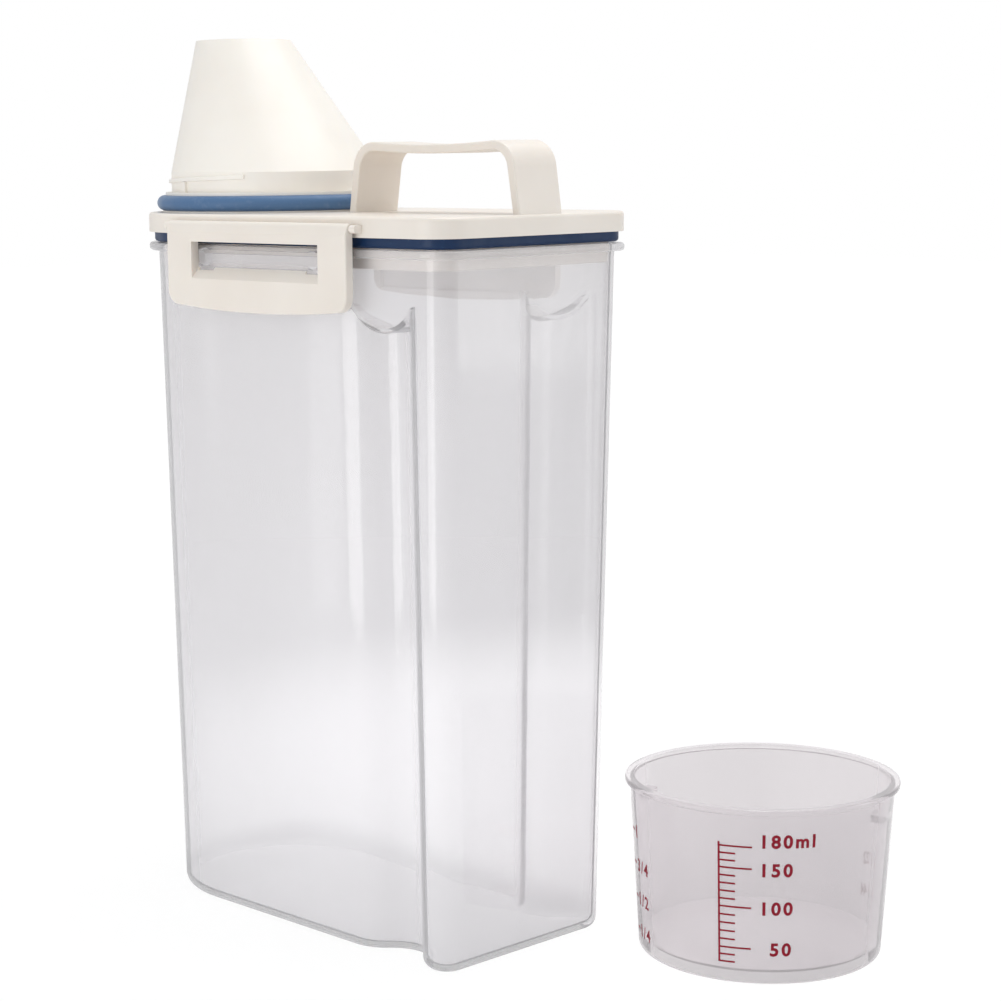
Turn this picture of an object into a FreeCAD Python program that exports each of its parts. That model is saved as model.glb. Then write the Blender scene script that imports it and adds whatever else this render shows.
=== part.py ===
import FreeCAD, Part
import math
import os

# Pet food storage container with a lid that two side latches clip down, a pouring spout
# and a measuring cup.
# Millimetres, +Z up. The origin is the middle of the container's flat underside.
# The spout is at -X, the carrying strap at +X, and the latch that faces forward at -Y.

# Container, a tall tub with one round end
body_height = 225.0
base_half_width = 36.9
base_end_x = 76.6
draft_run = 0.0159
corner_radius = 7.5
wall = 1.6
floor_thickness = 2.0
base_round = 4.0
inner_base_round = 3.0

# Rim bead round the container's mouth
rim_overhang = 3.1
rim_thickness = 2.6
rim_round = 1.0

# Hand grooves, one in each long side near the strap end, each under a round chin
groove_corner_gap = 0.13
groove_half_width = 13.3
groove_bottom_radius = 10.0
groove_left_flank = 2.0
groove_end_drop = 18.4
groove_right_round = 7.4
chin_radius = 15.9
chin_drop = 25.5
chin_root_round = 4.0
chin_lip_round = 2.2

# Lid
lid_stand = 3.5
lid_height = 6.3
lid_overhang = 3.06
lid_corner_radius = 11.0
lid_plate = 2.4
lid_edge_round = 1.1
plug_depth = 6.2
plug_clearance = 0.4
plug_wall = 1.6

# Lid gasket, a ring in the slot between the lid's skirt and its plug
gasket_stand = 1.25
gasket_clearance = 0.1
gasket_lift = 0.3
gasket_round = 1.0

# Spout
spout_x = -40.2
collar_radius = 35.3
collar_height = 13.2
spigot_inset = 2.8
spout_fit = 0.1
spigot_wall = 1.5
spout_wall = 1.6
seat_flange_reach = 3.1
seat_flange_thickness = 0.6
upper_flange_reach = 2.1
upper_flange_thickness = 1.0
cone_height = 43.5
mouth_radius = 16.1
mouth_shift = 15.6
ramp_rise = 1.7
ramp_depth = 0.9
ramp_height = 1.7
ramp_drop = 4.1
ramp_start_deg = -141.0
ramp_end_deg = -58.0
stop_deg = -98.7
stop_width = 1.7

# Seal ring round the spout, between its two flanges
seal_section = 5.0

# Carrying strap on the lid
strap_low_x0 = 6.5
strap_low_x1 = 82.2
strap_high_x0 = 9.6
strap_high_x1 = 78.8
strap_height = 22.2
strap_thickness = 2.8
strap_half_width = 9.5
strap_corner_radius = 9.0
strap_dip = 1.0
strap_edge_round = 0.6

# Hinge rail on each long side of the lid
latch_x = 3.2
hinge_out = 2.04
hinge_rise = 2.6
hinge_bar_radius = 0.8
web_radius = 1.25
web_thickness = 2.4
end_gap = 0.3

# Latches
latch_half_length = 43.2
latch_front_out = 4.44
latch_plate = 3.0
latch_drop = 26.9
latch_bottom_bow = 1.6
latch_bend_drop = 1.8
latch_barrel_radius = 1.7
latch_head_lap = 3.0
latch_edge_round = 0.7
hinge_clearance = 0.05
latch_low_corner = 5.0
latch_high_corner = 1.5
window_half_length = 30.6
window_top_drop = 4.9
hook_drop = 13.1
scoop_drop = 3.6
grip_recess_depth = 1.4
grip_recess_lift = 2.8
grip_recess_height = 6.0
grip_recess_half = 39.6

# Catch ribs under the container's rim, which the latches hook
catch_half_length = 28.9
hook_engagement = 1.2
catch_clearance = 0.4
catch_skin = 1.6
lug_radius = 3.0
lug_clearance = 0.9
lug_side_clearance = 0.6

# Measuring cup, standing beside the container
cup_x = 125.5
cup_y = 56.5
cup_height = 57.0
cup_base_radius = 38.4
cup_mouth_radius = 41.9
cup_wall = 1.4
cup_foot = 3.2
cup_floor = 1.6
cup_base_round = 2.4
cup_bead_radius = 43.4
cup_bead_height = 2.0
cup_bead_round = 0.8
cup_lug_depth = 4.2
cup_lug_height = 2.4
cup_lug_drop = 8.4
cup_lug_width = 8.0
cup_lug_deg = 22.0

# Places that follow from the sizes above
round_end_x = base_half_width - base_end_x
round_share = math.tan(math.radians(22.5))
groove_x = (base_end_x - corner_radius - groove_corner_gap - groove_right_round * round_share
            - groove_half_width)
groove_left_round = (groove_half_width * math.sqrt(2) - groove_bottom_radius
                     - groove_left_flank) / round_share
groove_end_z = body_height - groove_end_drop
chin_z = body_height - chin_drop + chin_radius
lid_underside_z = body_height + lid_stand
lid_top_z = lid_underside_z + lid_height
plug_bottom_z = body_height - plug_depth
strap_top_z = lid_top_z + strap_height
hinge_z = lid_underside_z + hinge_rise
latch_bend_z = hinge_z - latch_bend_drop
latch_bottom_z = hinge_z - latch_drop
window_top_z = hinge_z - window_top_drop
hook_z = hinge_z - hook_drop
scoop_low_z = hook_z - scoop_drop
grip_recess_low_z = latch_bottom_z + grip_recess_lift
grip_recess_high_z = grip_recess_low_z + grip_recess_height
rim_half_width = base_half_width + draft_run * body_height
rim_end_x = base_end_x + draft_run * body_height
skirt_half_width = rim_half_width + lid_overhang
skirt_end_x = rim_end_x + lid_overhang
hinge_y = skirt_half_width + hinge_out
latch_front_y = skirt_half_width + latch_front_out
latch_back_y = latch_front_y - latch_plate
catch_face_y = latch_back_y + hook_engagement
catch_bottom_z = hook_z + catch_clearance
web_middle = latch_half_length + end_gap + web_thickness / 2
spigot_radius = collar_radius - spigot_inset
spout_hole_radius = spigot_radius + spout_fit
seat_flange_radius = collar_radius + seat_flange_reach
upper_flange_radius = collar_radius + upper_flange_reach
seal_low_z = lid_top_z + seat_flange_thickness
seal_middle_radius = collar_radius + seal_section / 2
upper_flange_z = seal_low_z + seal_section
collar_top_z = lid_top_z + collar_height
mouth_z = collar_top_z + cone_height
ramp_low_z = collar_top_z - ramp_drop


def vec(x, y, z):
    return FreeCAD.Vector(x, y, z)


def tub_outline(half_width, end_x, corner, z):
    """Closed outline: straight sides, a flat end with two round corners, and a half-round end."""
    hw = half_width
    inner_x = end_x - corner
    diag = corner * math.cos(math.radians(45))
    edges = [
        Part.makeLine(vec(round_end_x, -hw, z), vec(inner_x, -hw, z)),
        Part.Arc(vec(inner_x, -hw, z), vec(inner_x + diag, -hw + corner - diag, z),
                 vec(end_x, -hw + corner, z)).toShape(),
        Part.makeLine(vec(end_x, -hw + corner, z), vec(end_x, hw - corner, z)),
        Part.Arc(vec(end_x, hw - corner, z), vec(inner_x + diag, hw - corner + diag, z),
                 vec(inner_x, hw, z)).toShape(),
        Part.makeLine(vec(inner_x, hw, z), vec(round_end_x, hw, z)),
        Part.Arc(vec(round_end_x, hw, z), vec(round_end_x - hw, 0, z),
                 vec(round_end_x, -hw, z)).toShape(),
    ]
    return Part.Wire(edges)


def tub_slab(half_width, end_x, corner, low_z, high_z):
    outline = tub_outline(half_width, end_x, corner, low_z)
    return Part.Face(outline).extrude(vec(0, 0, high_z - low_z))


def drafted_tub(inset, low_z, high_z):
    """Solid that narrows downward with the container's draft, drawn in by the inset."""
    wires = []
    for z in (low_z, high_z):
        half_width = base_half_width + draft_run * z - inset
        end_x = base_end_x + draft_run * z - inset
        wires.append(tub_outline(half_width, end_x, corner_radius - inset, z))
    return Part.makeLoft(wires, True, True)


def edges_at(shape, test):
    return [edge for edge in shape.Edges if test(edge)]


def level(z, slack=0.01):
    def test(edge):
        box = edge.BoundBox
        return abs(box.ZMin - z) < slack and abs(box.ZMax - z) < slack
    return test


def bend(start, heading, radius, turn):
    """Level arc from a start point, with its first heading and its turn in degrees; and its end."""
    first = math.radians(heading)
    last = first + math.radians(turn)
    half_way = (first + last) / 2
    arm = math.copysign(radius, turn)
    centre = start + vec(-math.sin(first), math.cos(first), 0) * arm
    middle = centre + vec(math.sin(half_way), -math.cos(half_way), 0) * arm
    end = centre + vec(math.sin(last), -math.cos(last), 0) * arm
    return Part.Arc(start, middle, end).toShape(), end


def groove_edges(half_width, face_y, inset, z):
    """Hand groove at -Y seen from above: where it starts and ends, and the edges between."""
    left_round = groove_left_round - inset
    right_round = groove_right_round - inset
    bottom_radius = groove_bottom_radius + inset
    half_bottom = bottom_radius / math.sqrt(2)
    right_run = right_round * round_share / math.sqrt(2)
    start = vec(groove_x - half_width - left_round * round_share, face_y, z)
    left_mouth, left_flank = bend(start, 0, left_round, 45)
    bottom_start = vec(groove_x - half_bottom, face_y + half_width - half_bottom, z)
    bottom, bottom_end = bend(bottom_start, 45, bottom_radius, -90)
    right_flank = vec(groove_x + half_width - right_run, face_y + right_run, z)
    right_mouth, end = bend(right_flank, -45, right_round, 45)
    return start, end, [left_mouth, Part.makeLine(left_flank, bottom_start), bottom,
                        Part.makeLine(bottom_end, right_flank), right_mouth]


def grooved_outline(half_width, end_x, inset, z):
    """The tub's outline with a hand groove in each long side."""
    corner = corner_radius - inset
    groove_half = groove_half_width + inset * (math.sqrt(2) - 1)
    start, end, groove = groove_edges(groove_half, -half_width, inset, z)
    side_start = vec(round_end_x, -half_width, z)
    corner_start = vec(end_x - corner, -half_width, z)
    corner_arc, corner_end = bend(corner_start, 0, corner, 90)
    side = [Part.makeLine(side_start, start)] + groove + [Part.makeLine(end, corner_start), corner_arc]
    flat_end = Part.makeLine(corner_end, vec(end_x, -corner_end.y, z))
    round_end = bend(vec(round_end_x, half_width, z), 180, half_width, 180)[0]
    loop = side + [flat_end, round_end] + [mirror_y(edge) for edge in side]
    return Part.Wire(Part.__sortEdges__(loop))


def mirror_y(shape):
    return shape.mirror(vec(0, 0, 0), vec(0, 1, 0))


def over_grooves(inset):
    """The room where the tub is full: above the grooves' ends, with the round chins hanging down."""
    half = 2 * base_half_width
    low_z = groove_end_z + inset
    left_x = groove_x - 2 * groove_half_width
    above = Part.makeBox(2 * half, 2 * half, body_height, vec(left_x, -half, low_z))
    chin = Part.makeCylinder(chin_radius - inset, 2 * half, vec(groove_x, -half, chin_z), vec(0, 1, 0))
    full = above.fuse(chin)
    roots = edges_at(full, lambda e: level(low_z)(e) and e.BoundBox.XLength < 0.01
                     and abs(e.BoundBox.XMin - groove_x) < chin_radius)
    return full.makeFillet(chin_root_round - inset, roots)


def is_chin_lip(edge):
    box = edge.BoundBox
    outside = min(abs(box.YMin), abs(box.YMax)) > base_half_width
    return outside and box.YLength < 1 and box.ZMax < groove_end_z + 0.01


def grooved_tub(inset, low_z, high_z):
    """The tub's outside, or its cavity when drawn in by the wall, with both hand grooves."""
    wires = []
    for z in (low_z, high_z):
        half_width = base_half_width + draft_run * z - inset
        end_x = base_end_x + draft_run * z - inset
        wires.append(grooved_outline(half_width, end_x, inset, z))
    upper = drafted_tub(inset, low_z, high_z).common(over_grooves(inset))
    if inset == 0:
        upper = upper.makeFillet(chin_lip_round, edges_at(upper, is_chin_lip))
    return Part.makeLoft(wires, True, True).fuse(upper).removeSplitter()


def make_container():
    outer = grooved_tub(0, 0, body_height)
    outer = outer.makeFillet(base_round, edges_at(outer, level(0)))
    rim = tub_slab(rim_half_width + rim_overhang, rim_end_x + rim_overhang,
                   corner_radius + rim_overhang, body_height - rim_thickness, body_height)
    rim = rim.makeFillet(rim_round, edges_at(rim, level(body_height))
                         + edges_at(rim, level(body_height - rim_thickness)))
    catch = make_catch()
    cavity = grooved_tub(wall, floor_thickness, body_height + 1)
    cavity = cavity.makeFillet(inner_base_round, edges_at(cavity, level(floor_thickness)))
    return outer.fuse([rim, catch, mirror_y(catch)]).cut(cavity).removeSplitter()


def make_catch():
    """Rib that hangs from the rim at -Y: a skin with a bevelled foot and two round-ended lugs."""
    x0 = latch_x - catch_half_length
    x1 = latch_x + catch_half_length
    top_z = body_height - rim_thickness / 2
    inside_y = -(rim_half_width - wall / 2)
    bevel = hook_engagement
    section = Part.Face(Part.makePolygon([
        vec(x0, inside_y, top_z), vec(x0, -catch_face_y, top_z),
        vec(x0, -catch_face_y, catch_bottom_z + bevel),
        vec(x0, -catch_face_y + bevel, catch_bottom_z),
        vec(x0, inside_y, catch_bottom_z), vec(x0, inside_y, top_z)]))
    rib = section.extrude(vec(x1 - x0, 0, 0))
    pocket_depth = catch_face_y - catch_skin - (base_half_width + draft_run * catch_bottom_z)
    pocket = Part.makeBox(2 * (catch_half_length - catch_skin), pocket_depth,
                          body_height - rim_thickness - catch_bottom_z + 1,
                          vec(x0 + catch_skin, -(catch_face_y - catch_skin), catch_bottom_z - 1))
    rib = rib.cut(pocket)
    for lug_x in (x0 + lug_radius, x1 - lug_radius):
        lug = Part.makeCylinder(lug_radius, catch_skin,
                                vec(lug_x, -catch_face_y, catch_bottom_z + lug_radius), vec(0, 1, 0))
        rib = rib.fuse(lug)
    return rib


def hinge_web(x):
    """Web at -Y that carries the hinge bar, from the lid's skirt out to the bar."""
    y = -hinge_y
    block = Part.makeBox(web_thickness, hinge_out + 1.0, 2 * web_radius,
                         vec(x - web_thickness / 2, y, hinge_z - web_radius))
    nose = Part.makeCylinder(web_radius, web_thickness, vec(x - web_thickness / 2, y, hinge_z),
                             vec(1, 0, 0))
    return block.fuse(nose)


def hinge_rail():
    half = web_middle + web_thickness / 2
    bar = Part.makeCylinder(hinge_bar_radius, 2 * half, vec(latch_x - half, -hinge_y, hinge_z),
                            vec(1, 0, 0))
    for offset in (-web_middle, web_middle):
        bar = bar.fuse(hinge_web(latch_x + offset))
    return bar


def make_lid():
    skirt = tub_slab(skirt_half_width, skirt_end_x, lid_corner_radius, lid_underside_z, lid_top_z)
    skirt = skirt.makeFillet(lid_edge_round, edges_at(skirt, level(lid_top_z)))
    plug_half = base_half_width + draft_run * plug_bottom_z - wall - plug_clearance
    plug_end = base_end_x + draft_run * plug_bottom_z - wall - plug_clearance
    plug_corner = corner_radius - wall - plug_clearance
    plate_z = lid_top_z - lid_plate
    plug = tub_slab(plug_half, plug_end, plug_corner, plug_bottom_z, plate_z)
    plug = plug.makeFillet(0.5, edges_at(plug, level(plug_bottom_z)))
    hollow = tub_slab(plug_half - plug_wall, plug_end - plug_wall, plug_corner - plug_wall,
                      plug_bottom_z - 1, plate_z)
    slot_half = rim_half_width + gasket_stand + gasket_clearance
    slot_end = rim_end_x + gasket_stand + gasket_clearance
    slot_corner = corner_radius + gasket_stand + gasket_clearance
    slot = tub_slab(slot_half, slot_end, slot_corner, lid_underside_z - 1, plate_z)
    hole = Part.makeCylinder(spout_hole_radius, 2 * lid_plate, vec(spout_x, 0, plate_z - 1))
    lid = skirt.cut(slot).fuse(plug).cut(hollow).cut(hole)
    rail = hinge_rail()
    return lid.fuse([rail, mirror_y(rail)]).removeSplitter()


def make_lid_gasket():
    low_z = body_height + gasket_lift
    high_z = lid_top_z - lid_plate - gasket_clearance
    outer = tub_slab(rim_half_width + gasket_stand, rim_end_x + gasket_stand,
                     corner_radius + gasket_stand, low_z, high_z)
    outer = outer.makeFillet(gasket_round, edges_at(outer, level(low_z)))
    gap = wall + plug_clearance - gasket_clearance
    shift = draft_run * (body_height - plug_bottom_z) + gap
    inner = tub_slab(rim_half_width - shift, rim_end_x - shift, corner_radius - gap,
                     low_z - 1, high_z + 1)
    return outer.cut(inner)


def disc(radius, low_z, high_z):
    return Part.makeCylinder(radius, high_z - low_z, vec(spout_x, 0, low_z))


def cone_between(low_radius, high_radius, low_z, high_z):
    """Leaning cone: its mouth lies over the container's round end."""
    low = Part.Wire(Part.makeCircle(low_radius, vec(spout_x, 0, low_z)))
    high = Part.Wire(Part.makeCircle(high_radius, vec(spout_x - mouth_shift, 0, high_z)))
    return Part.makeLoft([low, high], True, True)


def bayonet_ramp():
    """Rib that climbs round part of the collar, which a lug of the cup runs under."""
    full_turn_rise = ramp_rise * 360 / (ramp_end_deg - ramp_start_deg)
    helix = Part.makeHelix(full_turn_rise, ramp_rise, collar_radius)
    section = Part.makePolygon([
        vec(collar_radius - 0.4, 0, 0), vec(collar_radius + ramp_depth, 0, 0.3),
        vec(collar_radius + ramp_depth, 0, ramp_height - 0.3),
        vec(collar_radius - 0.4, 0, ramp_height), vec(collar_radius - 0.4, 0, 0)])
    rib = Part.Wire(helix).makePipeShell([section], True, True)
    rib.rotate(vec(0, 0, 0), vec(0, 0, 1), ramp_start_deg)
    rib.translate(vec(spout_x, 0, ramp_low_z))
    return rib


def bayonet_stop():
    low_z = upper_flange_z + upper_flange_thickness / 2
    box = Part.makeBox(ramp_depth + 0.8, stop_width, ramp_low_z + 1.0 - low_z,
                       vec(collar_radius - 0.8, -stop_width / 2, low_z))
    box.rotate(vec(0, 0, 0), vec(0, 0, 1), stop_deg)
    box.translate(vec(spout_x, 0, 0))
    return box


def make_spout():
    hub = disc(collar_radius, lid_top_z, collar_top_z)
    flanges = [disc(seat_flange_radius, lid_top_z, seal_low_z),
               disc(upper_flange_radius, upper_flange_z, upper_flange_z + upper_flange_thickness)]
    spigot = disc(spigot_radius, lid_top_z - lid_plate, lid_top_z + 0.1)
    cone = cone_between(collar_radius, mouth_radius, collar_top_z, mouth_z)
    outside = hub.fuse(flanges + [spigot, cone])
    bore_radius = collar_radius - spout_wall
    bore = disc(bore_radius, lid_top_z + 1.0, collar_top_z)
    bore_cone = cone_between(bore_radius, mouth_radius - spout_wall, collar_top_z, mouth_z)
    lip = Part.makeCylinder(mouth_radius - spout_wall, 2, vec(spout_x - mouth_shift, 0, mouth_z))
    spigot_bore = disc(spigot_radius - spigot_wall, lid_top_z - lid_plate - 1, lid_top_z + 1.5)
    spout = outside.cut(bore.fuse([bore_cone, lip, spigot_bore]))
    for half_turn in (0, 180):
        for rib in (bayonet_ramp(), bayonet_stop()):
            rib.rotate(vec(spout_x, 0, 0), vec(0, 0, 1), half_turn)
            spout = spout.fuse(rib)
    return spout.removeSplitter()


def make_spout_seal():
    return Part.makeTorus(seal_middle_radius, seal_section / 2,
                          vec(spout_x, 0, seal_low_z + seal_section / 2))


def strap_profile(inset, low_z):
    """Side view of the strap's outline, drawn in by the inset, from a low level to its top."""
    top_z = strap_top_z - inset
    radius = strap_corner_radius - inset
    low0 = vec(strap_low_x0 + inset, 0, low_z)
    high0 = vec(strap_high_x0 + inset, 0, top_z)
    high1 = vec(strap_high_x1 - inset, 0, top_z)
    low1 = vec(strap_low_x1 - inset, 0, low_z)
    leg0_end, mid0, bar_start = corner_round(low0, high0, high1, radius)
    bar_end, mid1, leg1_end = corner_round(high0, high1, low1, radius)
    dip = vec((bar_start.x + bar_end.x) / 2, 0, top_z - strap_dip)
    edges = [
        Part.makeLine(low0, leg0_end), Part.Arc(leg0_end, mid0, bar_start).toShape(),
        Part.Arc(bar_start, dip, bar_end).toShape(), Part.Arc(bar_end, mid1, leg1_end).toShape(),
        Part.makeLine(leg1_end, low1), Part.makeLine(low1, low0)]
    return Part.Face(Part.Wire(edges))


def corner_round(before, corner, after, radius):
    """Start, middle and end of the arc that rounds a corner between two straight lines."""
    back = (before - corner).normalize()
    ahead = (after - corner).normalize()
    half_angle = back.getAngle(ahead) / 2
    run = radius / math.tan(half_angle)
    inward = (back + ahead).normalize()
    middle = corner + inward * (radius / math.sin(half_angle) - radius)
    return corner + back * run, middle, corner + ahead * run


def make_handle():
    outer = strap_profile(0, lid_top_z)
    inner = strap_profile(strap_thickness, lid_top_z - 1)
    width = vec(0, 2 * strap_half_width, 0)
    outer.translate(vec(0, -strap_half_width, 0))
    strap = outer.extrude(width)
    inner.translate(vec(0, -strap_half_width - 1, 0))
    strap = strap.cut(inner.extrude(width + vec(0, 2, 0)))
    long_edges = edges_at(strap, lambda e: e.BoundBox.YLength < 0.01 and e.BoundBox.ZMax > lid_top_z + 0.1
                          and e.Length > 4)
    return strap.makeFillet(strap_edge_round, long_edges)


def latch_front():
    """Front view of a latch plate: round lower corners and a bowed lower edge."""
    x0, x1 = latch_x - latch_half_length, latch_x + latch_half_length
    y = -latch_front_y
    end_z = latch_bottom_z + latch_bottom_bow
    top_z = hinge_z
    r = latch_low_corner
    k = r * (1 - math.cos(math.radians(45)))
    edges = [
        Part.makeLine(vec(x0, y, top_z), vec(x0, y, end_z + r)),
        Part.Arc(vec(x0, y, end_z + r), vec(x0 + k, y, end_z + k), vec(x0 + r, y, end_z)).toShape(),
        Part.Arc(vec(x0 + r, y, end_z), vec(latch_x, y, latch_bottom_z),
                 vec(x1 - r, y, end_z)).toShape(),
        Part.Arc(vec(x1 - r, y, end_z), vec(x1 - k, y, end_z + k), vec(x1, y, end_z + r)).toShape(),
        Part.makeLine(vec(x1, y, end_z + r), vec(x1, y, top_z)),
        Part.makeLine(vec(x1, y, top_z), vec(x0, y, top_z))]
    return Part.Face(Part.Wire(edges))


def latch_head():
    """Upper part of a latch: from the bend, in to the barrel round the hinge bar."""
    x0 = latch_x - latch_half_length
    out_y, out_z = latch_front_y - hinge_y, latch_bend_z - hinge_z
    far = math.hypot(out_y, out_z)
    tilt = math.atan2(out_z, out_y) + math.acos(latch_barrel_radius / far)
    touch = (latch_barrel_radius * math.cos(tilt), latch_barrel_radius * math.sin(tilt))
    back_y = latch_back_y - hinge_y
    low_z = latch_bend_z - latch_head_lap
    points = [(latch_front_y - hinge_y, low_z - hinge_z), (out_y, out_z), touch, (0, 0),
              (back_y, latch_bend_z - hinge_z), (back_y, low_z - hinge_z)]
    section = [vec(x0, -(hinge_y + p), hinge_z + q) for p, q in points]
    wedge = Part.Face(Part.makePolygon(section + section[:1])).extrude(vec(2 * latch_half_length, 0, 0))
    barrel = Part.makeCylinder(latch_barrel_radius, 2 * latch_half_length, vec(x0, -hinge_y, hinge_z),
                               vec(1, 0, 0))
    return wedge.fuse(barrel)


def latch_window():
    """Window with a sloping lower side, down which a fingertip reaches the catch."""
    x0 = latch_x - window_half_length
    front, back = -latch_front_y, -latch_back_y
    slope = (hook_z - scoop_low_z) / latch_plate
    section = Part.makePolygon([
        vec(x0, front - 1, scoop_low_z - slope), vec(x0, back, hook_z), vec(x0, back + 1, hook_z),
        vec(x0, back + 1, window_top_z), vec(x0, front - 1, window_top_z),
        vec(x0, front - 1, scoop_low_z - slope)])
    return Part.Face(section).extrude(vec(2 * window_half_length, 0, 0))


def make_latch():
    """Latch at -Y, in its closed place."""
    plate = latch_front().extrude(vec(0, latch_plate, 0))
    upper = Part.makeBox(4 * latch_half_length, latch_plate + 2, latch_drop,
                         vec(latch_x - 2 * latch_half_length, -latch_front_y - 1,
                             latch_bend_z - latch_head_lap / 2))
    plate = plate.cut(upper).fuse(latch_head()).removeSplitter()
    front_edges = edges_at(plate, lambda e: e.BoundBox.YMax < -latch_front_y + 0.01
                           and e.BoundBox.ZMax < latch_bend_z - 0.01)
    plate = plate.makeFillet(latch_edge_round, front_edges)
    latch = plate.cut(latch_window())
    bar_hole = Part.makeCylinder(hinge_bar_radius + hinge_clearance, 4 * latch_half_length,
                                 vec(latch_x - 2 * latch_half_length, -hinge_y, hinge_z), vec(1, 0, 0))
    latch = latch.cut(bar_hole)
    recess = Part.makeBox(2 * grip_recess_half, grip_recess_depth + 1,
                          grip_recess_high_z - grip_recess_low_z,
                          vec(latch_x - grip_recess_half, -latch_back_y - grip_recess_depth,
                              grip_recess_low_z))
    latch = latch.cut(recess)
    lug_middle = catch_half_length - lug_radius
    lug_half = lug_radius + lug_side_clearance
    for side in (-1, 1):
        pocket = Part.makeBox(2 * lug_half, hook_engagement + 1, lug_radius,
                              vec(latch_x + side * lug_middle - lug_half,
                                  -latch_back_y - hook_engagement, hook_z - lug_clearance))
        latch = latch.cut(pocket)
    return latch


def cup_radius(z, inset=0.0):
    share = z / cup_height
    return cup_base_radius + (cup_mouth_radius - cup_base_radius) * share - inset


def make_measuring_cup():
    """Tapered cup, turned from one section, with a raised floor, a rim bead and two inside lugs."""
    foot_r = cup_radius(0) - cup_base_round
    bead_z = cup_height - cup_bead_height
    inner_floor = cup_foot + cup_floor
    edges = []
    points = [
        (0, cup_foot), (foot_r - cup_wall, cup_foot), (foot_r - cup_wall, 0), (foot_r, 0)]
    for a, b in zip(points, points[1:]):
        edges.append(Part.makeLine(vec(a[0], 0, a[1]), vec(b[0], 0, b[1])))
    turn = cup_base_round * (1 - math.cos(math.radians(45)))
    heel = vec(cup_radius(cup_base_round), 0, cup_base_round)
    edges.append(Part.Arc(vec(foot_r, 0, 0), vec(heel.x - turn, 0, turn), heel).toShape())
    wall_points = [
        (heel.x, heel.z), (cup_radius(bead_z), bead_z), (cup_bead_radius, bead_z),
        (cup_bead_radius, cup_height), (cup_radius(cup_height, cup_wall), cup_height),
        (cup_radius(inner_floor, cup_wall), inner_floor), (0, inner_floor), (0, cup_foot)]
    for a, b in zip(wall_points, wall_points[1:]):
        edges.append(Part.makeLine(vec(a[0], 0, a[1]), vec(b[0], 0, b[1])))
    cup = Part.Face(Part.Wire(edges)).revolve(vec(0, 0, 0), vec(0, 0, 1), 360)
    bead_edges = edges_at(cup, lambda e: (level(bead_z)(e) or level(cup_height)(e))
                          and e.BoundBox.XMax > cup_bead_radius - 0.01)
    cup = cup.makeFillet(cup_bead_round, bead_edges)
    for side in (0, 180):
        cup = cup.fuse(cup_lug(side + cup_lug_deg))
    cup.translate(vec(cup_x, cup_y, 0))
    return cup


def cup_lug(angle):
    """Small shelf inside the rim, which turns under a ramp on the spout's collar."""
    top_z = cup_height - cup_lug_drop
    reach = cup_radius(top_z, cup_wall)
    block = Part.makeBox(cup_lug_depth + 0.7, cup_lug_width, cup_lug_height,
                         vec(reach - cup_lug_depth, -cup_lug_width / 2, top_z - cup_lug_height))
    nose = edges_at(block, lambda e: e.BoundBox.ZLength > 1 and e.BoundBox.XMax < reach - 1)
    block = block.makeFillet(1.2, nose)
    block.rotate(vec(0, 0, 0), vec(0, 0, 1), angle)
    return block


def main():
    os.makedirs("parts", exist_ok=True)
    front_latch = make_latch()
    pieces = {
        "container": make_container(),
        "lid": make_lid(),
        "lid_gasket": make_lid_gasket(),
        "spout": make_spout(),
        "spout_seal": make_spout_seal(),
        "handle": make_handle(),
        "front_latch": front_latch,
        "rear_latch": mirror_y(front_latch),
        "measuring_cup": make_measuring_cup(),
    }
    for name, shape in pieces.items():
        box = shape.BoundBox
        print(name, "solids", len(shape.Solids), "valid", shape.isValid(), "volume %.1f" % shape.Volume,
              "x %.2f..%.2f y %.2f..%.2f z %.2f..%.2f" % (box.XMin, box.XMax, box.YMin, box.YMax,
                                                          box.ZMin, box.ZMax))
        solid = shape.Solids[0] if len(shape.Solids) == 1 else shape
        solid.exportStep(os.path.join("parts", name + ".step"))


main()
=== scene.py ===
import math

import bmesh
import bpy
from mathutils import Matrix, Vector


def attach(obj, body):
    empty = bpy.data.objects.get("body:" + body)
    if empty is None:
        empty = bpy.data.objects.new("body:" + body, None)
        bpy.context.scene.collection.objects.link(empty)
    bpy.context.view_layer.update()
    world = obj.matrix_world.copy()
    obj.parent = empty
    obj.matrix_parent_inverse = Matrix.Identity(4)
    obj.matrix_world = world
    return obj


# Pet food storage container: the finish of its solids, the measuring cup's printed scale,
# the studio and the camera. Metres, +Z up. The spout is at -X, the carrying strap at +X,
# and the latch that faces forward at -Y.

MM = 0.001

# Measuring cup, as the solid has it
CUP_CENTRE = Vector((125.5, 56.5, 0)) * MM
CUP_HEIGHT = 57.0 * MM
CUP_BASE_RADIUS = 38.4 * MM
CUP_MOUTH_RADIUS = 41.9 * MM

# Printed scale on the cup
INK_LIFT = 0.02 * MM
INK_THICKNESS = 0.05 * MM
SCALE_LEFT_DEG = -70.6
LONG_TICK_DEG = 14.8
SHORT_TICK_DEG = 7.7
TICK_HEIGHT = 0.55 * MM
STEM_WIDTH_DEG = 0.9
SCALE_FOOT_Z = 7.0 * MM
SCALE_TOP_Z = 46.0 * MM
SCALE_MILLILITRES = range(30, 190, 10)
LONG_TICKS = (50, 100, 150, 180)
LABEL_LEFT_DEG = {180: -51.5, 150: -51.3, 100: -51.0, 50: -47.3}
LABEL_RISE = {180: 1.9 * MM, 150: -0.3 * MM, 100: -0.1 * MM, 50: -0.1 * MM}
LABEL_HEIGHT = 4.4 * MM
LABEL_BOLDNESS = 0.032
LETTER_SPACING = 1.28
LETTER_DEPTH = 0.005
LETTER_CURVE_STEPS = 4
FRACTION_TICK_DEG = 4.5
FRACTION_HEIGHT = 4.2 * MM
FRACTION_BOLDNESS = 0.012
WELD_DISTANCE = 1e-7

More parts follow.
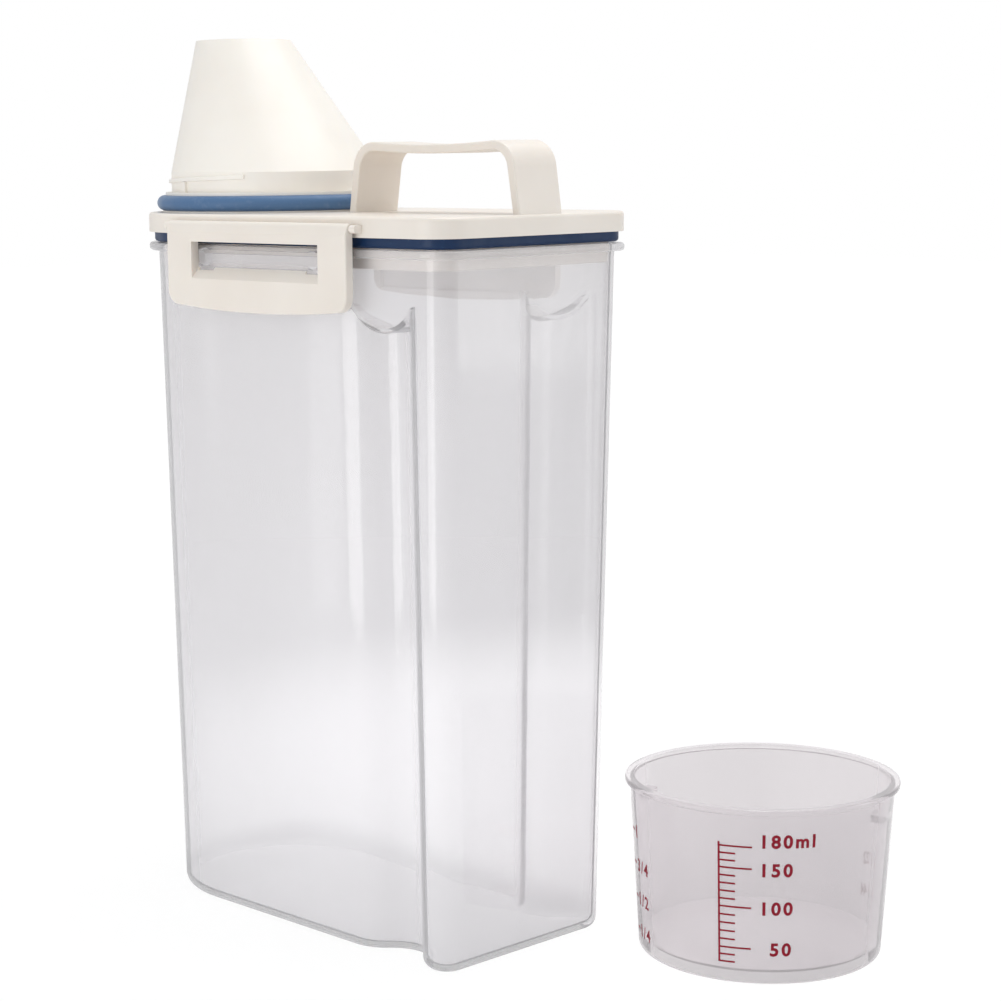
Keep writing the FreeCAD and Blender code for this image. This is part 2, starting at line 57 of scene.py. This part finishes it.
# Heights of the graduations in millimetres, by the label at each
KNOWN_LEVELS = {30: 7.2, 50: 11.9, 100: 25.2, 150: 37.8, 180: 44.8}
FRONT_FRACTIONS = {"1": 40.5, "3/4": 29.6, "1/2": 18.4, "1/4": 7.6}
FRONT_FRACTIONS_LEFT_DEG = -132.5
FRONT_FRACTIONS_GAP_DEG = 7.5
REAR_FRACTIONS = {"1": 44.3, "1/2": 25.2, "1/4": 14.3}
REAR_FRACTIONS_LEFT_DEG = 48.0
REAR_FRACTIONS_GAP_DEG = 9.0

# Camera, from the photograph's outlines
CAMERA_PLACE = Vector((590.86, -544.79, 254.69)) * MM
CAMERA_YAW = -0.822827
CAMERA_PITCH = 0.184874
CAMERA_ROLL = -0.013084
CAMERA_LENS_MM = 87.21
SENSOR_MM = 36.0
SHIFT_X = 0.1304
SHIFT_Y = 0.1023
CLIP_START = 0.05

# Clear plastic: a thin wall bends light little, and throws a small part of it back
WALL_BEND_IOR = 1.10
STRAIGHT_GLOSS = 0.05
EDGE_GLOSS = 0.35
GLOSS_SLANT_POWER = 5.0
MILK_SLANT_POWER = 3.0
MILK_DRIFT = 0.06
WALL_SHADOW_TINT = (0.96, 0.96, 0.96)

# Floor and room. The camera sees them white. What is seen through a clear wall or mirrored in one
# is painted light and shade on the floor: a painted pool of light behind the tub in a greyer room,
# painted shade round the tub's foot and a painted shadow beside the cup.
# Places and reaches are in metres, glows are strengths and shades are factors.
SHOWING_RAYS = ("Is Camera Ray", "Is Glossy Ray", "Is Transmission Ray")
FLOOR_HALF = 4.0
FLOOR_PAINT = (0.86, 0.86, 0.86)
FLOOR_GLOW = 1.04
FLOOR_GLOW_SHARE = 0.82
GLOW_SHARE_REACH = (0.15, 0.8)
# Painted pool of light on the floor, seen through and in the clear walls, fading to the room's glow
PAINTED_POOL_GLOW = 1.50
ROOM_GLOW = 0.79
POOL_CENTRE = (-0.06, 0.26, 0)
POOL_REACH = (0.12, 0.32)
# Painted shade round the tub's foot, seen through and in the clear walls
FOOT_SHADE = 0.62
FOOT_HALF = (0.080, 0.040, 0.0)
FOOT_SHADE_REACH = (0, 0.03)
# Painted shadow of the cup on the floor beside it, seen only through the clear walls
CUP_SIDE = (0.753, 0.658, 0)
CUP_SIDE_REACH = (0.070, 0.105)
CUP_SIDE_SHADE = 0.71
STUDIO_TINT = (0.97, 0.985, 1)
STUDIO_LIGHT = 0.60
WARM_WHITE = (1, 0.99, 0.97)
PART_MIDDLE = (0, 0, 0.15)


def is_seen(tree, ray_names):
    """One where a ray of the named kinds hits, and zero elsewhere."""
    rays = tree.nodes.new("ShaderNodeLightPath")
    total = rays.outputs[ray_names[0]]
    for name in ray_names[1:]:
        add = tree.nodes.new("ShaderNodeMath")
        add.operation = "MAXIMUM"
        tree.links.new(total, add.inputs[0])
        tree.links.new(rays.outputs[name], add.inputs[1])
        total = add.outputs[0]
    return total


def vector_math(tree, operation, first, second=None):
    """Output of a vector operation on a socket and, where given, a plain vector."""
    node = tree.nodes.new("ShaderNodeVectorMath")
    node.operation = operation
    tree.links.new(first, node.inputs[0])
    if second is not None:
        node.inputs[1].default_value = second
    return node.outputs["Value" if operation in ("LENGTH", "DOT_PRODUCT") else "Vector"]


def product(tree, first, second):
    node = tree.nodes.new("ShaderNodeMath")
    node.operation = "MULTIPLY"
    tree.links.new(first, node.inputs[0])
    tree.links.new(second, node.inputs[1])
    return node.outputs[0]


def choose(tree, factor, first, second):
    """A number between two, each a socket or a plain number."""
    node = tree.nodes.new("ShaderNodeMix")
    tree.links.new(factor, node.inputs["Factor"])
    for name, value in (("A", first), ("B", second)):
        if isinstance(value, float):
            node.inputs[name].default_value = value
        else:
            tree.links.new(value, node.inputs[name])
    return node.outputs["Result"]


def mix_shaders(tree, factor, first, second):
    node = tree.nodes.new("ShaderNodeMixShader")
    for source, target in ((factor, "Fac"), (first, 1), (second, 2)):
        tree.links.new(source, node.inputs[target])
    return node.outputs["Shader"]


def map_range(tree, source, reach, values):
    """Maps a distance's reach to two values, with a soft start and end."""
    node = tree.nodes.new("ShaderNodeMapRange")
    node.interpolation_type = "SMOOTHSTEP"
    for socket, value in zip(("From Min", "From Max", "To Min", "To Max"), (*reach, *values)):
        node.inputs[socket].default_value = value
    tree.links.new(source, node.inputs["Value"])
    return node.outputs["Result"]


class Surface:
    """A material built round one Principled shader, with textures placed in the part's frame."""

    def __init__(self, name, roughness, ior=1.49):
        self.material = bpy.data.materials.new(name)
        self.material.use_nodes = True
        self.tree = self.material.node_tree
        self.shader = self.tree.nodes["Principled BSDF"]
        self.output = self.tree.nodes["Material Output"]
        self.shader.inputs["Roughness"].default_value = roughness
        self.shader.inputs["IOR"].default_value = ior
        self.coordinates = self.new("ShaderNodeTexCoord").outputs["Object"]

    def new(self, kind, **settings):
        node = self.tree.nodes.new(kind)
        for key, value in settings.items():
            setattr(node, key, value)
        return node

    def link(self, source, target):
        self.tree.links.new(source, target)

    def noise(self, scale, detail, stretch=(1, 1, 1)):
        mapping = self.new("ShaderNodeMapping")
        mapping.inputs["Scale"].default_value = stretch
        self.link(self.coordinates, mapping.inputs["Vector"])
        noise = self.new("ShaderNodeTexNoise")
        noise.inputs["Scale"].default_value = scale
        noise.inputs["Detail"].default_value = detail
        self.link(mapping.outputs["Vector"], noise.inputs["Vector"])
        return noise.outputs["Fac"]

    def spread(self, source, low, high, from_low=0.35, from_high=0.65):
        """Maps a texture's middle range to low and high."""
        node = self.new("ShaderNodeMapRange")
        node.inputs["From Min"].default_value = from_low
        node.inputs["From Max"].default_value = from_high
        node.inputs["To Min"].default_value = low
        node.inputs["To Max"].default_value = high
        self.link(source, node.inputs["Value"])
        return node.outputs["Result"]

    def blend(self, factor, first, second):
        node = self.new("ShaderNodeMix", data_type="RGBA")
        node.inputs["A"].default_value = (*first, 1)
        node.inputs["B"].default_value = (*second, 1)
        self.link(factor, node.inputs["Factor"])
        return node.outputs["Result"]

    def mix(self, factor, first, second):
        return mix_shaders(self.tree, factor, first, second)

    def at_slant(self, power, amount, straight):
        """A share with its value where the wall is seen straight on, and more at a slant."""
        facing = self.new("ShaderNodeLayerWeight")
        facing.inputs["Blend"].default_value = 0.5
        slant = self.new("ShaderNodeMath", operation="POWER")
        slant.inputs[1].default_value = power
        self.link(facing.outputs["Facing"], slant.inputs[0])
        share = self.new("ShaderNodeMath", operation="MULTIPLY_ADD", use_clamp=True)
        share.inputs[1].default_value = amount
        if isinstance(straight, float):
            share.inputs[2].default_value = straight
        else:
            self.link(straight, share.inputs[2])
        self.link(slant.outputs[0], share.inputs[0])
        return share.outputs[0]

    def bump(self, height, strength, distance, before=None):
        node = self.new("ShaderNodeBump")
        node.inputs["Strength"].default_value = strength
        node.inputs["Distance"].default_value = distance
        self.link(height, node.inputs["Height"])
        if before is not None:
            self.link(before, node.inputs["Normal"])
        return node.outputs["Normal"]


def cream_plastic(name, low, high):
    """Satin polypropylene: faint mottling, fine moulded grain and a few polished patches."""
    s = Surface(name, 0.34)
    mottle = s.spread(s.noise(38, detail=4), 0, 1)
    s.link(s.blend(mottle, low, high), s.shader.inputs["Base Color"])
    s.link(s.spread(s.noise(90, detail=3), 0.28, 0.42), s.shader.inputs["Roughness"])
    flow = s.bump(s.noise(60, detail=2), strength=0.10, distance=0.4 * MM)
    grain = s.bump(s.noise(2600, detail=2), strength=0.06, distance=0.2 * MM, before=flow)
    s.link(grain, s.shader.inputs["Normal"])
    s.shader.inputs["Subsurface Weight"].default_value = 0.08
    s.shader.inputs["Subsurface Radius"].default_value = (0.004, 0.003, 0.002)
    s.shader.inputs["Subsurface Scale"].default_value = 0.6
    return s.material


def blue_silicone(name, clean, dusty):
    """Smooth silicone with a soft sheen, a little dust and a slightly uneven surface."""
    s = Surface(name, 0.42, ior=1.43)
    dust = s.spread(s.noise(420, detail=5), 0, 1, from_low=0.55, from_high=0.75)
    s.link(s.blend(dust, clean, dusty), s.shader.inputs["Base Color"])
    s.link(s.spread(s.noise(160, detail=3), 0.34, 0.50), s.shader.inputs["Roughness"])
    uneven = s.bump(s.noise(700, detail=3), strength=0.10, distance=0.2 * MM)
    s.link(uneven, s.shader.inputs["Normal"])
    s.shader.inputs["Specular IOR Level"].default_value = 0.35
    s.shader.inputs["Sheen Weight"].default_value = 0.05
    s.shader.inputs["Sheen Roughness"].default_value = 0.4
    return s.material


def clear_plastic(name, low, high, clearness, milk, edge_milk, roughness):
    """See-through polypropylene: clear plastic with milk in it, flow marks and fine scuffs.

    The milk's share drifts over the wall, and grows where the wall is seen edge on. To the lamps
    the wall is nearly clear, so that they light what stands inside and behind it.
    """
    s = Surface(name, roughness * 3)
    cloud = s.spread(s.noise(14, detail=3, stretch=(1, 1, 0.35)), 0, 1)
    s.link(s.blend(cloud, low, high), s.shader.inputs["Base Color"])
    flow_marks = s.noise(22, detail=2, stretch=(1, 1, 0.3))
    flow = s.bump(flow_marks, strength=0.10, distance=0.6 * MM)
    s.link(flow, s.shader.inputs["Normal"])
    scuffs = s.noise(240, detail=6, stretch=(1, 1, 0.25))
    s.link(s.spread(scuffs, roughness * 2, roughness * 5), s.shader.inputs["Roughness"])
    glass = s.new("ShaderNodeBsdfRefraction")
    glass.inputs["Color"].default_value = (*clearness, 1)
    glass.inputs["IOR"].default_value = WALL_BEND_IOR
    gloss = s.new("ShaderNodeBsdfGlossy")
    gloss.inputs["Color"].default_value = (1, 1, 1, 1)
    for shader, least, most in ((glass, 0.3, 0.8), (gloss, 1.1, 2.4)):
        s.link(s.spread(scuffs, roughness * least, roughness * most), shader.inputs["Roughness"])
        s.link(flow, shader.inputs["Normal"])
    gloss_share = s.at_slant(GLOSS_SLANT_POWER, EDGE_GLOSS, STRAIGHT_GLOSS)
    clear_wall = s.mix(gloss_share, glass.outputs["BSDF"], gloss.outputs["BSDF"])
    drift = s.noise(9, detail=3, stretch=(1, 1, 0.4))
    straight_milk = s.spread(drift, (1 - MILK_DRIFT) * milk, (1 + MILK_DRIFT) * milk)
    milk_share = s.at_slant(MILK_SLANT_POWER, edge_milk, straight_milk)
    wall = s.mix(milk_share, clear_wall, s.shader.outputs["BSDF"])
    clear = s.new("ShaderNodeBsdfTransparent")
    clear.inputs["Color"].default_value = (*WALL_SHADOW_TINT, 1)
    rays = s.new("ShaderNodeLightPath")
    lit = s.mix(rays.outputs["Is Shadow Ray"], wall, clear.outputs["BSDF"])
    s.link(lit, s.output.inputs["Surface"])
    return s.material


def red_ink():
    """Screen-printed ink, thin in places."""
    s = Surface("red_ink", 0.45)
    thin = s.spread(s.noise(900, detail=4), 0, 1)
    s.link(s.blend(thin, (0.29, 0.003, 0.020), (0.23, 0.002, 0.014)), s.shader.inputs["Base Color"])
    s.shader.inputs["Specular IOR Level"].default_value = 0.25
    grain = s.bump(s.noise(3000, detail=2), strength=0.08, distance=0.1 * MM)
    s.link(grain, s.shader.inputs["Normal"])
    return s.material


def finish_node(name, material):
    """Gives a solid its material."""
    mesh = nodes[name].data
    mesh.materials.clear()
    mesh.materials.append(material)


def cup_radius(z):
    return CUP_BASE_RADIUS + (CUP_MOUTH_RADIUS - CUP_BASE_RADIUS) * z / CUP_HEIGHT


def on_cup(angle, z, lift):
    """Point on the cup's outer wall, a lift away from it."""
    radius = cup_radius(z) + lift
    return CUP_CENTRE + Vector((radius * math.cos(angle), radius * math.sin(angle), z))


def wrapped_bar(shape, from_deg, to_deg, low_z, high_z, step_deg=1.5):
    """Thin bar of ink bent round the cup's wall."""
    count = max(1, math.ceil(abs(to_deg - from_deg) / step_deg))
    rings = []
    for i in range(count + 1):
        angle = math.radians(from_deg + (to_deg - from_deg) * i / count)
        rings.append([shape.verts.new(on_cup(angle, z, lift)) for z, lift in (
            (low_z, INK_LIFT), (high_z, INK_LIFT),
            (high_z, INK_LIFT + INK_THICKNESS), (low_z, INK_LIFT + INK_THICKNESS))])
    for before, after in zip(rings, rings[1:]):
        for k in range(4):
            n = (k + 1) % 4
            shape.faces.new((before[k], before[n], after[n], after[k]))
    shape.faces.new(rings[0][::-1])
    shape.faces.new(rings[-1])


def wrapped_text(shape, words, left_deg, middle_z, height, boldness):
    """Digits bent round the cup's wall, with their left edge at an angle."""
    curve = bpy.data.curves.new("digits", "FONT")
    curve.body = words
    curve.offset = boldness
    curve.space_character = LETTER_SPACING
    curve.extrude = LETTER_DEPTH
    curve.resolution_u = LETTER_CURVE_STEPS
    holder = bpy.data.objects.new("digits", curve)
    bpy.context.scene.collection.objects.link(holder)
    bpy.context.view_layer.update()
    graph = bpy.context.evaluated_depsgraph_get()
    mesh = bpy.data.meshes.new_from_object(holder.evaluated_get(graph))
    bpy.data.objects.remove(holder)
    left = min(v.co.x for v in mesh.vertices)
    low = min(v.co.y for v in mesh.vertices)
    scale = height / (max(v.co.y for v in mesh.vertices) - low)
    radius = cup_radius(middle_z)
    for v in mesh.vertices:
        angle = math.radians(left_deg) + (v.co.x - left) * scale / radius
        z = middle_z - height / 2 + (v.co.y - low) * scale
        v.co = on_cup(angle, z, INK_LIFT + INK_THICKNESS / 2 + v.co.z * scale)
    shape.from_mesh(mesh)
    bpy.data.meshes.remove(mesh)


def level_of(millilitres):
    """Height of a graduation, between the known ones."""
    marks = sorted(KNOWN_LEVELS)
    below = max(m for m in marks if m <= millilitres)
    above = min(m for m in marks if m >= millilitres)
    share = 0 if above == below else (millilitres - below) / (above - below)
    return (KNOWN_LEVELS[below] + share * (KNOWN_LEVELS[above] - KNOWN_LEVELS[below])) * MM


def tick(shape, left_deg, reach_deg, z):
    wrapped_bar(shape, left_deg, left_deg + reach_deg, z - TICK_HEIGHT / 2, z + TICK_HEIGHT / 2)


def millilitre_scale(shape):
    wrapped_bar(shape, SCALE_LEFT_DEG, SCALE_LEFT_DEG + STEM_WIDTH_DEG, SCALE_FOOT_Z, SCALE_TOP_Z)
    for millilitres in SCALE_MILLILITRES:
        reach_deg = LONG_TICK_DEG if millilitres in LONG_TICKS else SHORT_TICK_DEG
        tick(shape, SCALE_LEFT_DEG, reach_deg, level_of(millilitres))
    for millilitres, left_deg in LABEL_LEFT_DEG.items():
        words = "180ml" if millilitres == 180 else str(millilitres)
        middle_z = level_of(millilitres) + LABEL_RISE[millilitres]
        wrapped_text(shape, words, left_deg, middle_z, LABEL_HEIGHT, LABEL_BOLDNESS)


def fraction_scale(shape, levels, left_deg, label_gap_deg):
    for words, z in levels.items():
        tick(shape, left_deg, FRACTION_TICK_DEG, z * MM)
        wrapped_text(shape, words, left_deg + label_gap_deg, z * MM,
                     FRACTION_HEIGHT, FRACTION_BOLDNESS)


def print_cup_scale(ink):
    """All the ink on the cup as one piece."""
    shape = bmesh.new()
    millilitre_scale(shape)
    fraction_scale(shape, FRONT_FRACTIONS, FRONT_FRACTIONS_LEFT_DEG, FRONT_FRACTIONS_GAP_DEG)
    fraction_scale(shape, REAR_FRACTIONS, REAR_FRACTIONS_LEFT_DEG, REAR_FRACTIONS_GAP_DEG)
    bmesh.ops.remove_doubles(shape, verts=shape.verts, dist=WELD_DISTANCE)
    bmesh.ops.recalc_face_normals(shape, faces=shape.faces)
    mesh = bpy.data.meshes.new("cup_scale")
    shape.to_mesh(mesh)
    shape.free()
    mesh.materials.append(ink)
    piece = bpy.data.objects.new("cup_scale", mesh)
    bpy.context.scene.collection.objects.link(piece)
    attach(piece, "cup")


def make_floor():
    mesh = bpy.data.meshes.new("floor")
    corners = [(x * FLOOR_HALF, y * FLOOR_HALF, 0) for x, y in ((-1, -1), (1, -1), (1, 1), (-1, 1))]
    mesh.from_pydata(corners, [], [(0, 1, 2, 3)])
    floor = bpy.data.objects.new("floor", mesh)
    bpy.context.scene.collection.objects.link(floor)
    mesh.materials.append(floor_material())


def floor_material():
    """White paint that takes the shadows, under a glow that keeps the floor white to the camera;
    through and in the clear walls the glow shows painted light and shade.
    """
    material = bpy.data.materials.new("white_floor")
    material.use_nodes = True
    tree = material.node_tree
    tree.nodes.clear()
    paint = tree.nodes.new("ShaderNodeBsdfDiffuse")
    paint.inputs["Color"].default_value = (*FLOOR_PAINT, 1)
    glow = tree.nodes.new("ShaderNodeEmission")
    place = tree.nodes.new("ShaderNodeTexCoord").outputs["Object"]
    seen_through = table_glow(tree, place)
    strength = choose(tree, is_seen(tree, SHOWING_RAYS[:1]), seen_through, FLOOR_GLOW)
    tree.links.new(strength, glow.inputs["Strength"])
    distance = vector_math(tree, "LENGTH", place)
    fade = map_range(tree, distance, GLOW_SHARE_REACH, (FLOOR_GLOW_SHARE, 1))
    share = product(tree, is_seen(tree, SHOWING_RAYS), fade)
    mixed = mix_shaders(tree, share, paint.outputs["BSDF"], glow.outputs["Emission"])
    output = tree.nodes.new("ShaderNodeOutputMaterial")
    tree.links.new(mixed, output.inputs["Surface"])
    return material


def table_glow(tree, place):
    """Painted light and shade of the floor as a clear wall shows it, by its place: a painted pool
    of light, painted shade round the tub's foot and a painted shadow beside the cup.
    """
    from_pool = vector_math(tree, "LENGTH", vector_math(tree, "SUBTRACT", place, POOL_CENTRE))
    # Painted pool of light
    painted_pool = map_range(tree, from_pool, POOL_REACH, (PAINTED_POOL_GLOW, ROOM_GLOW))
    # Painted shade round the tub's foot
    beside = vector_math(tree, "SUBTRACT", vector_math(tree, "ABSOLUTE", place), FOOT_HALF)
    from_foot = vector_math(tree, "LENGTH", vector_math(tree, "MAXIMUM", beside, (0, 0, 0)))
    shade = map_range(tree, from_foot, FOOT_SHADE_REACH, (FOOT_SHADE, 1))
    # Painted shadow beside the cup, seen only through the walls
    toward_cup = vector_math(tree, "DOT_PRODUCT", place, CUP_SIDE)
    cup_side = map_range(tree, toward_cup, CUP_SIDE_REACH, (1, CUP_SIDE_SHADE))
    by_cup = choose(tree, is_seen(tree, SHOWING_RAYS[2:]), 1.0, cup_side)
    return product(tree, product(tree, painted_pool, shade), by_cup)


def make_world():
    """Plain pale studio all round; the camera sees it white."""
    world = bpy.data.worlds.new("studio")
    bpy.context.scene.world = world
    world.use_nodes = True
    tree = world.node_tree
    tree.nodes.clear()
    seen = tree.nodes.new("ShaderNodeBackground")
    seen.inputs["Color"].default_value = (1, 1, 1, 1)
    strength = choose(tree, is_seen(tree, SHOWING_RAYS[:1]), ROOM_GLOW, 1.0)
    tree.links.new(strength, seen.inputs["Strength"])
    lights = tree.nodes.new("ShaderNodeBackground")
    lights.inputs["Color"].default_value = (*STUDIO_TINT, 1)
    lights.inputs["Strength"].default_value = STUDIO_LIGHT
    mixed = mix_shaders(tree, is_seen(tree, SHOWING_RAYS),
                        lights.outputs["Background"], seen.outputs["Background"])
    output = tree.nodes.new("ShaderNodeOutputWorld")
    tree.links.new(mixed, output.inputs["Surface"])


def soft_box(name, place, aim, size, watts, tint=(1, 1, 1)):
    light = bpy.data.lights.new(name, "AREA")
    light.shape = "RECTANGLE"
    light.size, light.size_y = size
    light.energy = watts
    light.color = tint
    box = bpy.data.objects.new(name, light)
    box.location = place
    box.rotation_euler = (Vector(aim) - Vector(place)).to_track_quat("-Z", "Y").to_euler()
    bpy.context.scene.collection.objects.link(box)


def make_camera():
    forward = Vector((math.sin(CAMERA_YAW), math.cos(CAMERA_YAW), 0))
    level_right = Vector((math.cos(CAMERA_YAW), -math.sin(CAMERA_YAW), 0))
    up = Vector((0, 0, 1))
    look = forward * math.cos(CAMERA_PITCH) - up * math.sin(CAMERA_PITCH)
    lean = up * math.cos(CAMERA_PITCH) + forward * math.sin(CAMERA_PITCH)
    right = level_right * math.cos(CAMERA_ROLL) + lean * math.sin(CAMERA_ROLL)
    top = -level_right * math.sin(CAMERA_ROLL) + lean * math.cos(CAMERA_ROLL)
    data = bpy.data.cameras.new("camera")
    data.lens = CAMERA_LENS_MM
    data.sensor_width = SENSOR_MM
    data.shift_x = SHIFT_X
    data.shift_y = SHIFT_Y
    data.clip_start = CLIP_START
    camera = bpy.data.objects.new("camera", data)
    turn = Matrix((right, top, -look)).transposed().to_4x4()
    camera.matrix_world = Matrix.Translation(CAMERA_PLACE) @ turn
    bpy.context.scene.collection.objects.link(camera)
    bpy.context.scene.camera = camera


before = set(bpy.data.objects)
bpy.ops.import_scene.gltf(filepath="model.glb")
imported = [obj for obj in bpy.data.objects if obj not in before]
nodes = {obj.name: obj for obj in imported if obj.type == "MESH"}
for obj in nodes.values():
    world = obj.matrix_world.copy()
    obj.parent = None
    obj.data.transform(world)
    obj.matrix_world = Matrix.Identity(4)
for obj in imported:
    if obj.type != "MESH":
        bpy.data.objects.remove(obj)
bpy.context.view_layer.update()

cream = cream_plastic("cream_plastic", (0.812, 0.750, 0.680), (0.842, 0.785, 0.718))
# A lighter copy of the cream for the spout: painted light, standing in for light that shines
# through its thin wall
lit_spout_cream = cream_plastic("lit_spout_cream_plastic", (0.880, 0.835, 0.770), (0.905, 0.865, 0.805))
body_clear = clear_plastic(
    "clear_plastic", (0.82, 0.81, 0.825), (0.86, 0.85, 0.868),
    clearness=(0.985, 0.981, 0.986), milk=0.22, edge_milk=0.60, roughness=0.05)
cup_clear = clear_plastic(
    "cup_plastic", (0.78, 0.745, 0.76), (0.83, 0.795, 0.81),
    clearness=(0.928, 0.915, 0.922), milk=0.23, edge_milk=0.50, roughness=0.05)
seal_blue = blue_silicone("blue_silicone", (0.080, 0.162, 0.305), (0.110, 0.195, 0.340))
# The gasket's blue is the seal's blue darkened: painted shade of the gap between the lid's skirt
# and the rim
shaded_gasket_blue = blue_silicone("shaded_blue_silicone", (0.006, 0.029, 0.092), (0.010, 0.038, 0.108))

finish_node("container", body_clear)
finish_node("measuring_cup", cup_clear)
finish_node("lid_gasket", shaded_gasket_blue)
finish_node("spout_seal", seal_blue)
finish_node("spout", lit_spout_cream)
for name in ("lid", "handle", "front_latch", "rear_latch"):
    finish_node(name, cream)

print_cup_scale(red_ink())

make_floor()
make_world()
soft_box("key_box", (0.62, -1.32, 0.95), PART_MIDDLE, size=(1.1, 1.1), watts=1.5, tint=WARM_WHITE)
soft_box("front_strip", (-0.03, -0.47, 0.18), (-0.03, 0, 0.18), size=(0.28, 0.34), watts=0.50)
soft_box("side_strip", (1.18, 0.92, 0.50), PART_MIDDLE, size=(0.5, 1.0), watts=1.8)
soft_box("top_box", (0.15, 0.35, 1.6), PART_MIDDLE, size=(1.4, 1.2), watts=14.0)
make_camera()
bpy.context.scene.view_settings.view_transform = "Standard"
